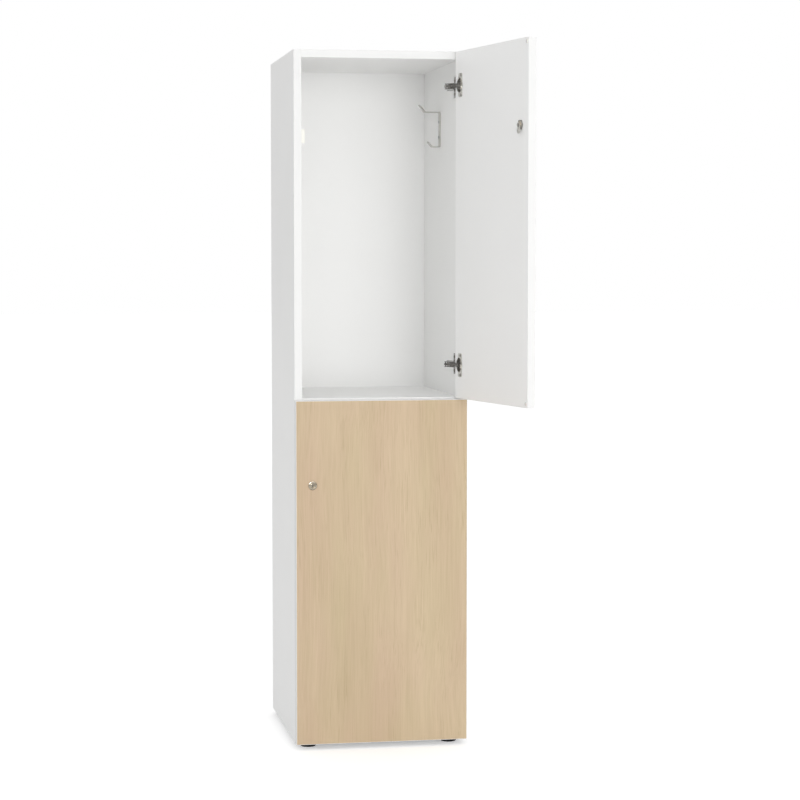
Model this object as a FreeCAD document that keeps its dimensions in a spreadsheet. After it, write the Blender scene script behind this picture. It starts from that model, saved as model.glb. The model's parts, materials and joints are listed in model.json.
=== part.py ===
import FreeCAD, Part
import cmath
import math
import os
import Sketcher

# Two-tier locker of laminated board, in millimetres and degrees.
# X runs to the right, Y to the back and Z up. The origin is at the middle of the carcass's underside.
# The upper door is drawn open and the lower one closed, each on two concealed four-bar hinges.

SIZES = [
    # Carcass
    ("cabinet_width", 400),
    ("carcass_depth", 430),
    ("carcass_height", 1590),
    ("board", 18),
    ("edge_band", 1),
    ("back_thickness", 5),
    ("rebate_width", 9),
    # Feet
    ("foot_height", 13),
    ("foot_radius", 19),
    ("foot_base_radius", 17),
    ("foot_bevel", 3),
    ("foot_inset", 34),
    ("foot_recess_radius", 7),
    ("foot_recess", 7),
    # Doors
    ("door_thickness", 18),
    ("door_gap", 2),
    ("side_reveal", 0.5),
    ("top_reveal", 2),
    ("mid_door_gap", 3),
    ("shelf_lap", 2),
    ("laminate", 0.8),
    ("door_band", 1),
    ("bumper_radius", 4),
    ("bumper_height", 1.6),
    ("bumper_rim", 0.8),
    ("bumper_inset", 9),
    # Board fittings
    ("joint_inset", 60),
    ("dowel_step", 32),
    ("dowel_radius", 4),
    ("dowel_in_side", 10),
    ("dowel_in_board", 22),
    ("dowel_bevel", 1),
    ("bolt_thread_radius", 2.5),
    ("bolt_in_side", 11),
    ("bolt_collar_radius", 3.6),
    ("bolt_collar", 3),
    ("bolt_neck_radius", 2.2),
    ("bolt_head_radius", 3.4),
    ("bolt_head", 4),
    ("bolt_bore_radius", 4),
    ("cam_distance", 34),
    ("cam_disc_radius", 7.5),
    ("cam_disc_height", 13.5),
    ("cam_recess_radius", 3),
    ("cam_recess", 2.5),
    # Screws
    ("screw_radius", 1.75),
    ("screw_length", 13),
    ("screw_head_radius", 3.5),
    ("screw_head", 1.6),
    ("screw_crown", 0.8),
    # Concealed hinges
    ("hinge_inset", 77),
    ("cup_inset", 6.5),
    ("cup_radius", 17.5),
    ("cup_sheet", 0.8),
    ("cup_depth", 13.2),
    ("flange_half", 27),
    ("flange_far", 16),
    ("flange_near", 5),
    ("flange_sheet", 1.2),
    ("cup_screw_back", 9.5),
    ("cup_screw_half", 22.5),
    ("mouth_pin_out", 13.2),
    ("mouth_pin_proud", 4.9),
    ("rear_pin_out", 27.9),
    ("rear_pin_back", 10.8),
    ("deep_pin_side", 12.65),
    ("deep_pin_depth", 6.3),
    ("shallow_pin_side", 13.85),
    ("shallow_pin_depth", 2.6),
    ("pin_radius", 1.2),
    ("pin_fit", 0.05),
    ("open_pivot_play", 1.3),
    ("eye_wall", 1),
    ("outer_link_half", 2.4),
    ("outer_link_sheet", 2.4),
    ("link_gap", 0.4),
    ("inner_link_width", 1.6),
    ("inner_link_sheet", 1.4),
    ("arm_sheet", 1.6),
    ("arm_eye", 2.7),
    ("arm_height", 14),
    ("arm_foot", 3.2),
    ("arm_shoulder", 14),
    ("arm_web_start", 24),
    ("arm_end", 66),
    ("plate_setback", 37),
    ("plate_wing_half", 24),
    ("plate_wing_width", 16),
    ("plate_sheet", 2),
    ("plate_hole_half", 16),
    ("boss_clearance", 1),
    ("arm_screw_step", 19),
    ("hinge_opening_angle", 101.4),
    # Cam locks
    ("lock_edge", 38.5),
    ("lock_drop", 194),
    ("upper_lock_drop", 185),
    ("lock_flange_radius", 10.6),
    ("lock_flange", 2.4),
    ("lock_flange_round", 1),
    ("lock_body_radius", 8.2),
    ("lock_tail", 3.6),
    ("nut_flat_half", 10),
    ("nut_height", 3.2),
    ("plug_radius", 5.6),
    ("plug_fit", 0.08),
    ("plug_recess", 0.5),
    ("keyway_width", 1.6),
    ("keyway_height", 7.4),
    ("keyway_depth", 12),
    ("drive_half", 3),
    ("lever_gap", 0.3),
    ("lever_width", 11),
    ("lever_sheet", 2.2),
    ("lever_crank", 1),
    ("lever_crank_start", 8.5),
    ("lever_crank_run", 2.5),
    ("lever_reach", 18.5),
    ("lever_head_radius", 4.6),
    ("lever_head", 2),
    ("strike_sheet", 1.4),
    ("strike_lip", 7.5),
    ("strike_height", 31),
    ("strike_setback", 0.2),
    ("strike_length", 24),
    ("strike_screw_back", 15),
    ("strike_screw_half", 9),
    # Coat hooks
    ("hook_setback", 223),
    ("hook_drop", 107),
    ("hook_width", 16),
    ("hook_sheet", 2.5),
    ("hook_reach", 37),
    ("hook_tip_run", 15),
    ("hook_tip_rise", 17.5),
    ("hook_plate", 82),
    ("hook_low_reach", 20),
    ("hook_low_run", 11),
    ("hook_low_rise", 12),
    ("hook_bend", 3),
    ("hook_screw_drop", 23),
    ("hook_screw_step", 36),
]

# Shares chosen by hand
ARM_CORNER_SHARE = 0.5
EDGE_ROUND_SHARE = 0.7
INNER_LINK_SHARES = [(-0.0626, -0.4089), (1.0704, -0.2248)]
OUTER_LINK_SHARES = [(0.2193, 0.2201)]
INNER_LINK_TURN_SHARE = -0.42
OUTER_LINK_TURN_SHARE = -0.292
SWING_STEPS = 36
BACK_SCREW_SHARES = [0.12, 0.37, 0.63, 0.88]
BACK_SCREW_SIDE_SHARE = 0.15

doc = FreeCAD.newDocument("Locker")
sheet = doc.addObject("Spreadsheet::Sheet", "Sizes")


class Size:
    """A size that carries its value and the sheet expression that gives it."""

    def __init__(self, value, text):
        self.value = float(value)
        self.text = text

    def __add__(self, other):
        return Size(self.value + other.value, f"({self.text} + {other.text})")

    def __sub__(self, other):
        return Size(self.value - other.value, f"({self.text} - {other.text})")

    def __neg__(self):
        return Size(-self.value, f"(0 - {self.text})")

    def __mul__(self, share):
        return Size(self.value * share, f"({self.text} * {share})")

    def __truediv__(self, count):
        return Size(self.value / count, f"({self.text} / {count})")


class Sheet:
    """The sheet's sizes as attributes."""


s = Sheet()
for row, (alias, value) in enumerate(SIZES, start=1):
    sheet.set(f"A{row}", alias)
    sheet.set(f"B{row}", str(value))
    sheet.setAlias(f"B{row}", alias)
    setattr(s, alias, Size(value, f"Sizes.{alias}"))
doc.recompute()

zero = Size(0, "0")
nodes = []


# Helpers that draw, place and cut

PLANES = {"x": ("YZ_Plane", 1), "y": ("XZ_Plane", -1), "z": ("XY_Plane", 1)}


def fixed(value):
    """A worked-out coordinate that has no cell of its own."""
    return Size(value, repr(float(value)))


def node(piece, label):
    """Name a finished piece and list it for export."""
    piece.Label = label
    nodes.append(piece)
    return piece


def place(piece, spot, pose=None):
    """Put a piece at a spot, bound to the sheet, or at that spot on a door that has swung by a pose."""
    if pose is None:
        for axis, size in zip("xyz", spot):
            piece.setExpression(".Placement.Base." + axis, size.text)
        return
    here = FreeCAD.Vector(*[size.value for size in spot])
    piece.Placement = pose.multiply(FreeCAD.Placement(here, FreeCAD.Rotation()))


def new_body(label, spot, pose=None):
    body = doc.addObject("PartDesign::Body", label)
    place(body, spot, pose)
    return body


def new_sketch(body, axis, level=zero):
    """A sketch in a body, on the origin plane across an axis, moved to a level along that axis."""
    role, sign = PLANES[axis]
    sketch = body.newObject("Sketcher::SketchObject", body.Name + "_sketch")
    plane = [feature for feature in body.Origin.OriginFeatures if feature.Role == role][0]
    sketch.AttachmentSupport = [(plane, "")]
    sketch.MapMode = "FlatFace"
    offset = level if sign > 0 else -level
    sketch.setExpression(".AttachmentOffset.Base.z", offset.text)
    return sketch


def hold(sketch, geometry, point, x, y):
    """Tie a sketch point to its x and y."""
    for kind, line, size in (("DistanceX", -2, x), ("DistanceY", -1, y)):
        if size is zero:
            sketch.addConstraint(Sketcher.Constraint("PointOnObject", geometry, point, line))
            continue
        index = sketch.addConstraint(Sketcher.Constraint(kind, -1, 1, geometry, point, size.value))
        sketch.setExpression(f"Constraints[{index}]", size.text)


def polygon(sketch, points):
    """A closed outline of straight lines with every corner tied."""
    first = sketch.GeometryCount
    count = len(points)
    spots = [FreeCAD.Vector(x.value, y.value, 0) for x, y in points]
    for i, spot in enumerate(spots):
        sketch.addGeometry(Part.LineSegment(spot, spots[(i + 1) % count]))
    for i, (x, y) in enumerate(points):
        sketch.addConstraint(Sketcher.Constraint("Coincident", first + i, 1, first + (i - 1) % count, 2))
        hold(sketch, first + i, 1, x, y)


def rectangle(sketch, x, y, width, height):
    polygon(sketch, [(x, y), (x + width, y), (x + width, y + height), (x, y + height)])


def circle(sketch, x, y, radius):
    spot = FreeCAD.Vector(x.value, y.value, 0)
    index = sketch.addGeometry(Part.Circle(spot, FreeCAD.Vector(0, 0, 1), radius.value))
    hold(sketch, index, 3, x, y)
    tie = sketch.addConstraint(Sketcher.Constraint("Radius", index, radius.value))
    sketch.setExpression(f"Constraints[{tie}]", radius.text)


def pad(body, sketch, axis, length, sign=1):
    """Grow a sketch along an axis."""
    made = body.newObject("PartDesign::Pad", body.Name + "_pad")
    made.Profile = sketch
    made.setExpression("Length", length.text)
    made.Reversed = sign != PLANES[axis][1]
    body.Tip = made
    return made


def pocket(body, sketch, axis, depth, sign):
    """Cut a sketch into a body along an axis."""
    made = body.newObject("PartDesign::Pocket", body.Name + "_pocket")
    made.Profile = sketch
    made.setExpression("Length", depth.text)
    made.Reversed = sign == PLANES[axis][1]
    body.Tip = made
    return made


def slab(label, spot, lengths, pose=None):
    """A board: a rectangle in plan, padded up."""
    body = new_body(label, spot, pose)
    sketch = new_sketch(body, "z")
    rectangle(sketch, zero, zero, lengths[0], lengths[1])
    pad(body, sketch, "z", lengths[2])
    return body


def drill(body, axis, level, spots, radius, depth, sign):
    """Round holes of one size, started at a level and cut along an axis."""
    sketch = new_sketch(body, axis, level)
    for x, y in spots:
        circle(sketch, x, y, radius)
    pocket(body, sketch, axis, depth, sign)


def turned(label, spot, axis, profile, pose=None):
    """A turned piece: an outline of radius and height, spun about Y or Z."""
    body = new_body(label, spot, pose)
    sketch = new_sketch(body, "z" if axis == "y" else "y")
    polygon(sketch, profile)
    spin = body.newObject("PartDesign::Revolution", label + "_spin")
    spin.Profile = sketch
    spin.ReferenceAxis = (sketch, ["V_Axis"])
    spin.Angle = 360
    body.Tip = spin
    return body


def round_edges(body, radius, test):
    """Round the edges of a body that pass a test on their middle point and direction."""
    doc.recompute()
    base = body.Tip
    names = []
    for i, edge in enumerate(base.Shape.Edges, start=1):
        start, end = edge.Vertexes[0].Point, edge.Vertexes[-1].Point
        if test((start + end) / 2, end - start):
            names.append(f"Edge{i}")
    made = body.newObject("PartDesign::Fillet", body.Name + "_fillet")
    made.Base = (base, names)
    made.setExpression("Radius", radius.text)
    body.Tip = made


def group(label, pieces):
    """Like pieces in one node, as separate solids."""
    made = doc.addObject("Part::Compound", label)
    made.Links = pieces
    return node(made, label)


def fasteners(label, profile, spots, direction, pose=None):
    """Turned fasteners of one outline, set at their spots with their heads along a direction."""
    points = [FreeCAD.Vector(radius.value, 0, along.value) for radius, along in profile]
    face = Part.Face(Part.makePolygon(points + points[:1]))
    solid = face.revolve(FreeCAD.Vector(0, 0, 0), FreeCAD.Vector(0, 0, 1), 360)
    turn = FreeCAD.Rotation(FreeCAD.Vector(0, 0, 1), direction)
    solids = []
    for spot in spots:
        copy = solid.copy()
        copy.Placement = FreeCAD.Placement(FreeCAD.Vector(*[size.value for size in spot]), turn)
        solids.append(copy)
    made = doc.addObject("Part::Feature", label)
    made.Shape = Part.makeCompound(solids)
    made.Placement = FreeCAD.Placement() if pose is None else pose
    return node(made, label)


def strip_outline(path, sheet_thickness):
    """Corners of a bent strip: the path moved half a sheet to each side, mitred at its bends."""
    half = sheet_thickness / 2
    steps = [(b - a) / abs(b - a) for a, b in zip(path, path[1:])]
    sides = [steps[0] * 1j]
    for before, after in zip(steps, steps[1:]):
        normal = (before + after) / abs(before + after) * 1j
        sides.append(normal / (normal * (after * 1j).conjugate()).real)
    sides.append(steps[-1] * 1j)
    left = [point + side * half for point, side in zip(path, sides)]
    right = [point - side * half for point, side in zip(path, sides)]
    return [(fixed(point.real), fixed(point.imag)) for point in left + right[::-1]]


# Places that several pieces share

half_width = s.cabinet_width / 2
front = -(s.carcass_depth / 2)
base_level = zero
inner_right = half_width - s.board
inner_left = -inner_right
board_front = front + s.edge_band
board_depth = s.carcass_depth - s.edge_band - s.back_thickness
inner_width = s.cabinet_width - s.board * 2
door_width = s.cabinet_width - s.side_reveal * 2
door_height = (s.carcass_height - s.top_reveal - s.mid_door_gap) / 2
door_left = -half_width + s.side_reveal
door_inner = front - s.door_gap
door_front = door_inner - s.door_thickness
door_bottoms = {"lower": base_level, "upper": base_level + door_height + s.mid_door_gap}
shelf_bottom = door_bottoms["upper"] + s.shelf_lap - s.board
top_bottom = base_level + s.carcass_height - s.board
level_bottoms = {"bottom_panel": base_level, "middle_shelf": shelf_bottom, "top_panel": top_bottom}
ceilings = {"lower": shelf_bottom, "upper": top_bottom}
strike_heights = {tier: bottom + door_height - s.lock_drop for tier, bottom in door_bottoms.items()}
lock_heights = {
    "lower": strike_heights["lower"],
    "upper": door_bottoms["upper"] + door_height - s.upper_lock_drop,
}
hinge_heights = {
    tier: [bottom + s.hinge_inset, bottom + door_height - s.hinge_inset]
    for tier, bottom in door_bottoms.items()
}
cup_middle = inner_right - s.cup_inset
joint_rows = [s.joint_inset, board_depth - s.joint_inset]
dowel_rows = [s.joint_inset + s.dowel_step, board_depth - s.joint_inset - s.dowel_step]
back_face = s.carcass_depth / 2 - s.back_thickness
hook_tops = {tier: ceiling - s.hook_drop for tier, ceiling in ceilings.items()}

SCREW = [
    (zero, -s.screw_length),
    (s.screw_radius, -s.screw_length + s.screw_radius),
    (s.screw_radius, zero),
    (s.screw_head_radius, zero),
    (s.screw_head_radius, s.screw_head - s.screw_crown),
    (s.screw_radius, s.screw_head),
    (zero, s.screw_head),
]
LEFT = FreeCAD.Vector(-1, 0, 0)
RIGHT = FreeCAD.Vector(1, 0, 0)
BACK = FreeCAD.Vector(0, 1, 0)
DOWN = FreeCAD.Vector(0, 0, -1)
UP = FreeCAD.Vector(0, 0, 1)


# Hinge geometry in plan, as complex numbers, with the door closed

mouth_pin = complex((inner_right - s.mouth_pin_out).value, (front - s.mouth_pin_proud).value)
rear_pin = complex((inner_right - s.rear_pin_out).value, (front + s.rear_pin_back).value)
deep_pin = complex((cup_middle + s.deep_pin_side).value, (door_inner - s.deep_pin_depth).value)
shallow_pin = complex((cup_middle + s.shallow_pin_side).value, (door_inner - s.shallow_pin_depth).value)


def turn_by(share, swing):
    """A plan rotation by a share of the door's swing."""
    return cmath.exp(1j * math.radians(share * swing))


def deep_pin_at(swing):
    return mouth_pin + (deep_pin - mouth_pin) * turn_by(INNER_LINK_TURN_SHARE, swing)


def shallow_pin_at(swing):
    return deep_pin_at(swing) + (shallow_pin - deep_pin) * turn_by(1, swing)


def outer_link_vector():
    """The outer link from its free eye to the cup, set so that the eye stays nearest its pin."""
    total = 0
    for step in range(SWING_STEPS + 1):
        swing = s.hinge_opening_angle.value * step / SWING_STEPS
        total += (shallow_pin_at(swing) - rear_pin) / turn_by(OUTER_LINK_TURN_SHARE, swing)
    return total / (SWING_STEPS + 1)


free_eye = shallow_pin - outer_link_vector()


def swung(start, end, share):
    """The placement that turns a piece by a share of the opening and takes one plan point to another."""
    turn = turn_by(share, s.hinge_opening_angle.value)
    base = end - start * turn
    angle = share * s.hinge_opening_angle.value
    return FreeCAD.Placement(FreeCAD.Vector(base.real, base.imag, 0), FreeCAD.Rotation(UP, angle))


opened = s.hinge_opening_angle.value
door_pose = {"lower": None, "upper": swung(deep_pin, deep_pin_at(opened), 1)}
inner_pose = {"lower": None, "upper": swung(mouth_pin, mouth_pin, INNER_LINK_TURN_SHARE)}
outer_pose = {"lower": None, "upper": swung(shallow_pin, shallow_pin_at(opened), OUTER_LINK_TURN_SHARE)}


# Carcass

def side_panel(label, inner, sign):
    """A side board, drilled from its inner face for dowels and bolts, with the back's rebate."""
    outer_left = inner if sign > 0 else inner - s.board
    body = slab(label, (outer_left, board_front, base_level),
                (s.board, s.carcass_depth - s.edge_band, s.carcass_height))
    face = zero if sign > 0 else s.board
    middles = [bottom - base_level + s.board / 2 for bottom in level_bottoms.values()]
    drill(body, "x", face, [(y, z) for z in middles for y in joint_rows],
          s.bolt_thread_radius, s.bolt_in_side, sign)
    drill(body, "x", face, [(y, z) for z in middles for y in dowel_rows],
          s.dowel_radius, s.dowel_in_side, sign)
    rebate = new_sketch(body, "x", face)
    rectangle(rebate, board_depth, zero, s.back_thickness, s.carcass_height)
    pocket(body, rebate, "x", s.rebate_width, sign)
    spots = plate_screw_spots() + hook_screw_spots() if sign > 0 else strike_screw_spots()
    drill(body, "x", face, [(y - board_front, z - base_level) for x, y, z in spots],
          s.screw_radius, s.screw_length, sign)
    middle = s.rebate_width / 2 if sign > 0 else s.board - s.rebate_width / 2
    drill(body, "y", board_depth, [(middle, s.carcass_height * share) for share in BACK_SCREW_SHARES],
          s.screw_radius, s.screw_length - s.back_thickness + s.screw_head, -1)
    return node(body, label)


def level_board(label, bottom):
    """A board between the sides, with end holes for dowels and bolts and pockets for the cam locks."""
    body = slab(label, (inner_left, board_front, bottom), (inner_width, board_depth, s.board))
    middle = s.board / 2
    for face, sign in ((zero, 1), (inner_width, -1)):
        drill(body, "x", face, [(y, middle) for y in joint_rows], s.bolt_bore_radius, s.cam_distance, sign)
        drill(body, "x", face, [(y, middle) for y in dowel_rows], s.dowel_radius, s.dowel_in_board, sign)
    upward = label == "top_panel"
    spots = [(x, y) for x in (s.cam_distance, inner_width - s.cam_distance) for y in joint_rows]
    drill(body, "z", s.board if upward else zero, spots, s.cam_disc_radius, s.cam_disc_height,
          -1 if upward else 1)
    drill(body, "y", board_depth, [(inner_width / 2 + x, middle) for x in back_screw_offsets()],
          s.screw_radius, s.screw_length - s.back_thickness + s.screw_head, -1)
    if label == "bottom_panel":
        feet = [(x - inner_left, y - board_front) for x, y in foot_spots().values()]
        drill(body, "z", zero, feet, s.screw_radius, s.screw_length - s.foot_height + s.foot_recess, 1)
    return node(body, label)


def back_screw_offsets():
    return [s.cabinet_width * -BACK_SCREW_SIDE_SHARE, s.cabinet_width * BACK_SCREW_SIDE_SHARE]


def back_screw_spots():
    """Where the heads of the back's screws seat, sunk flush in its rear face."""
    rear = s.carcass_depth / 2 - s.screw_head
    edge = inner_right + s.rebate_width / 2
    rows = [base_level + s.carcass_height * share for share in BACK_SCREW_SHARES]
    spots = [(x, rear, z) for x in (-edge, edge) for z in rows]
    levels = [bottom + s.board / 2 for bottom in level_bottoms.values()]
    return spots + [(x, rear, z) for x in back_screw_offsets() for z in levels]


def back_panel():
    left = inner_left - s.rebate_width
    body = slab("back_panel", (left, back_face, base_level),
                (inner_width + s.rebate_width * 2, s.back_thickness, s.carcass_height))
    holes = [(x - left, z - base_level) for x, y, z in back_screw_spots()]
    drill(body, "y", s.back_thickness, holes, s.screw_radius, s.back_thickness, -1)
    drill(body, "y", s.back_thickness, holes, s.screw_head_radius, s.screw_head, -1)
    return node(body, "back_panel")


def carcass_edge_bands():
    """White strips on the front edges of the five boards."""
    places = [(-half_width, base_level, s.board, s.carcass_height),
              (inner_right, base_level, s.board, s.carcass_height)]
    places += [(inner_left, bottom, inner_width, s.board) for bottom in level_bottoms.values()]
    return group("carcass_edge_bands", [edge_strip(*spot) for spot in places])


def edge_strip(x, z, width, height):
    """One strip, with its two long front edges rounded."""
    body = slab("edge_strip", (x, front, z), (width, s.edge_band, height))

    def at_front(middle, along):
        return abs(middle.y) < s.pin_fit.value and along.Length > s.board.value * 2

    round_edges(body, s.edge_band * EDGE_ROUND_SHARE, at_front)
    return body


def board_fittings():
    """Dowels and bolts across each joint between a board and a side, and the cam locks that pull them."""
    dowel = [
        (zero, -s.dowel_in_side),
        (s.dowel_radius - s.dowel_bevel, -s.dowel_in_side),
        (s.dowel_radius, -s.dowel_in_side + s.dowel_bevel),
        (s.dowel_radius, s.dowel_in_board - s.dowel_bevel),
        (s.dowel_radius - s.dowel_bevel, s.dowel_in_board),
        (zero, s.dowel_in_board),
    ]
    bolt = [
        (zero, -s.bolt_in_side),
        (s.bolt_thread_radius, -s.bolt_in_side),
        (s.bolt_thread_radius, zero),
        (s.bolt_collar_radius, zero),
        (s.bolt_collar_radius, s.bolt_collar),
        (s.bolt_neck_radius, s.bolt_collar),
        (s.bolt_neck_radius, s.cam_distance - s.bolt_head),
        (s.bolt_head_radius, s.cam_distance - s.bolt_head),
        (s.bolt_head_radius, s.cam_distance),
        (zero, s.cam_distance),
    ]
    middles = [bottom + s.board / 2 for bottom in level_bottoms.values()]
    for label, profile, rows in (("dowels", dowel, dowel_rows), ("cam_bolts", bolt, joint_rows)):
        for side, x, inward in (("left", inner_left, RIGHT), ("right", inner_right, LEFT)):
            spots = [(x, board_front + y, z) for z in middles for y in rows]
            fasteners(f"{side}_{label}", profile, spots, inward)
    return cam_locks()


def cam_locks():
    """Cam discs in the hidden faces of the level boards, bored for the bolts' heads."""
    disc = Part.makeCylinder(s.cam_disc_radius.value, s.cam_disc_height.value)
    recess = Part.makeCylinder(s.cam_recess_radius.value, s.cam_recess.value)
    solids = []
    for label, bottom in level_bottoms.items():
        upward = label == "top_panel"
        z = bottom + s.board - s.cam_disc_height if upward else bottom
        recess_z = s.cam_disc_height - s.cam_recess if upward else zero
        for x, outward in ((inner_left + s.cam_distance, LEFT), (inner_right - s.cam_distance, RIGHT)):
            for y in joint_rows:
                lock = disc.cut(recess.translated(FreeCAD.Vector(0, 0, recess_z.value)))
                bore_z = (bottom + s.board / 2 - z).value
                start = FreeCAD.Vector(0, 0, bore_z) - outward * s.bolt_bore_radius.value
                bore = Part.makeCylinder(s.bolt_bore_radius.value, s.cam_distance.value, start, outward)
                lock = lock.cut(bore)
                lock.translate(FreeCAD.Vector(x.value, (board_front + y).value, z.value))
                solids.append(lock)
    made = doc.addObject("Part::Feature", "cam_locks")
    made.Shape = Part.makeCompound(solids)
    return node(made, "cam_locks")


def foot_spots():
    """Plan places of the four feet."""
    x = half_width - s.foot_inset
    y = s.carcass_depth / 2 - s.foot_inset
    return {"front_left_foot": (-x, -y), "front_right_foot": (x, -y),
            "rear_left_foot": (-x, y), "rear_right_foot": (x, y)}


def feet():
    """Low round feet with a bevelled base and a recess for the screw's head."""
    profile = [
        (s.foot_recess_radius, zero),
        (s.foot_base_radius, zero),
        (s.foot_radius, s.foot_bevel),
        (s.foot_radius, s.foot_height),
        (s.screw_radius, s.foot_height),
        (s.screw_radius, s.foot_recess),
        (s.foot_recess_radius, s.foot_recess),
    ]
    for label, (x, y) in foot_spots().items():
        node(turned(label, (x, y, base_level - s.foot_height), "z", profile), label)
    spots = [(x, y, base_level - s.foot_height + s.foot_recess) for x, y in foot_spots().values()]
    return fasteners("foot_screws", SCREW, spots, DOWN)


# Doors

def door_board(tier):
    """The white board of a door, bored for the hinge cups, their screws and the lock."""
    label = f"{tier}_door_core"
    bottom = door_bottoms[tier] + s.door_band
    left = door_left + s.door_band
    thickness = s.door_thickness - s.laminate
    body = slab(label, (left, door_front + s.laminate, bottom),
                (door_width - s.door_band * 2, thickness, door_height - s.door_band * 2), door_pose[tier])
    cups = [(cup_middle - left, z - bottom) for z in hinge_heights[tier]]
    drill(body, "y", thickness, cups, s.cup_radius, s.cup_depth, -1)
    screws = [(x - left, z - bottom) for x, y, z in cup_screw_spots(tier)]
    drill(body, "y", thickness, screws, s.screw_radius, s.screw_length - s.flange_sheet, -1)
    lock = [(s.lock_edge - s.door_band, lock_heights[tier] - bottom)]
    drill(body, "y", thickness, lock, s.lock_body_radius, s.door_thickness, -1)
    return node(body, label)


def door_face(tier):
    """The wood-look laminate on a door's front."""
    label = f"{tier}_door_face"
    bottom = door_bottoms[tier] + s.door_band
    body = slab(label, (door_left + s.door_band, door_front, bottom),
                (door_width - s.door_band * 2, s.laminate, door_height - s.door_band * 2), door_pose[tier])
    lock = [(s.lock_edge - s.door_band, lock_heights[tier] - bottom)]
    drill(body, "y", s.laminate, lock, s.lock_body_radius, s.laminate, -1)
    return node(body, label)


def door_edging(tier):
    """The white band round a door's four edges, rounded on its outer corners."""
    label = f"{tier}_door_edging"
    body = slab(label, (door_left, door_front, door_bottoms[tier]),
                (door_width, s.door_thickness, door_height), door_pose[tier])
    inside = new_sketch(body, "y")
    rectangle(inside, s.door_band, s.door_band, door_width - s.door_band * 2, door_height - s.door_band * 2)
    pocket(body, inside, "y", s.door_thickness, 1)

    def at_rim(middle, along):
        across = min(abs(middle.x), abs(middle.x - door_width.value))
        upright = min(abs(middle.z), abs(middle.z - door_height.value))
        return min(across, upright) < s.pin_fit.value

    round_edges(body, s.door_band * EDGE_ROUND_SHARE, at_rim)
    return node(body, label)


def door_bumpers(tier):
    """Soft pads at the free corners of a door's inner face."""
    profile = [
        (zero, zero),
        (s.bumper_radius, zero),
        (s.bumper_radius, s.bumper_height - s.bumper_rim),
        (s.bumper_radius - s.bumper_rim, s.bumper_height),
        (zero, s.bumper_height),
    ]
    heights = (door_bottoms[tier] + s.bumper_inset, door_bottoms[tier] + door_height - s.bumper_inset)
    spots = [(door_left + s.bumper_inset, door_inner, z) for z in heights]
    return fasteners(f"{tier}_door_bumpers", profile, spots, BACK, door_pose[tier])


# Cam locks of the doors

def lock_spot(tier):
    """The lock's axis where it meets a door's inner face."""
    return (door_left + s.lock_edge, door_inner, lock_heights[tier])


def lock_barrel(tier):
    """The barrel with its face flange, bored for the plug."""
    profile = [
        (s.plug_radius, s.lock_tail),
        (s.lock_body_radius, s.lock_tail),
        (s.lock_body_radius, -s.door_thickness),
        (s.lock_flange_radius, -s.door_thickness),
        (s.lock_flange_radius, -s.door_thickness - s.lock_flange + s.lock_flange_round),
        (s.lock_flange_radius - s.lock_flange_round, -s.door_thickness - s.lock_flange),
        (s.plug_radius, -s.door_thickness - s.lock_flange),
    ]
    label = f"{tier}_lock_barrel"
    return node(turned(label, lock_spot(tier), "y", profile, door_pose[tier]), label)


def lock_nut(tier):
    """The hexagon nut that holds the barrel from inside."""
    label = f"{tier}_lock_nut"
    body = new_body(label, lock_spot(tier), door_pose[tier])
    sketch = new_sketch(body, "y")
    corner = s.nut_flat_half / math.cos(math.radians(30))
    corners = [cmath.exp(1j * math.radians(60 * i)) for i in range(6)]
    points = [(corner * point.real, corner * point.imag if point.imag else zero) for point in corners]
    points = [(x, y if abs(y.value) > s.pin_fit.value else zero) for x, y in points]
    polygon(sketch, points)
    pad(body, sketch, "y", s.nut_height)
    drill(body, "y", s.nut_height, [(zero, zero)], s.lock_body_radius, s.nut_height, -1)
    return node(body, label)


def lock_plug(tier):
    """The turning plug, with its keyway in front and a square drive at the back."""
    radius = s.plug_radius - s.plug_fit
    tip = -s.door_thickness - s.lock_flange + s.plug_recess
    profile = [(zero, tip), (radius, tip), (radius, s.lock_tail), (zero, s.lock_tail)]
    label = f"{tier}_lock_plug"
    body = turned(label, lock_spot(tier), "y", profile, door_pose[tier])
    drive = new_sketch(body, "y", s.lock_tail)
    rectangle(drive, -s.drive_half, -s.drive_half, s.drive_half * 2, s.drive_half * 2)
    pad(body, drive, "y", s.lever_gap + s.lever_sheet)
    keyway = new_sketch(body, "y", tip)
    rectangle(keyway, -s.keyway_width / 2, -s.keyway_height / 2, s.keyway_width, s.keyway_height)
    pocket(body, keyway, "y", s.keyway_depth, 1)
    return node(body, label)


def lock_lever(tier):
    """The cranked cam lever, hanging down unlocked, with a square hole and a round tip."""
    label = f"{tier}_lock_lever"
    body = new_body(label, lock_spot(tier), door_pose[tier])
    near = s.lock_tail + s.lever_gap
    far = near + s.lever_sheet
    bend = s.lever_crank_start
    run = s.lever_crank_start + s.lever_crank_run
    half = s.lever_width / 2
    profile = [
        (near, half), (near, -bend), (near + s.lever_crank, -run), (near + s.lever_crank, -s.lever_reach),
        (far + s.lever_crank, -s.lever_reach), (far + s.lever_crank, -run), (far, -bend), (far, half),
    ]
    sketch = new_sketch(body, "x", -half)
    polygon(sketch, profile)
    pad(body, sketch, "x", s.lever_width)
    hole = new_sketch(body, "y", near)
    rectangle(hole, -s.drive_half, -s.drive_half, s.drive_half * 2, s.drive_half * 2)
    pocket(body, hole, "y", s.lever_sheet, 1)
    ends = (-s.lever_reach.value, half.value)

    def at_end(middle, along):
        at_tip = min(abs(middle.z - end) for end in ends) < s.pin_fit.value
        at_side = abs(abs(middle.x) - half.value) < s.pin_fit.value
        return at_tip and at_side

    round_edges(body, half - s.lever_gap, at_end)
    return node(body, label)


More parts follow.
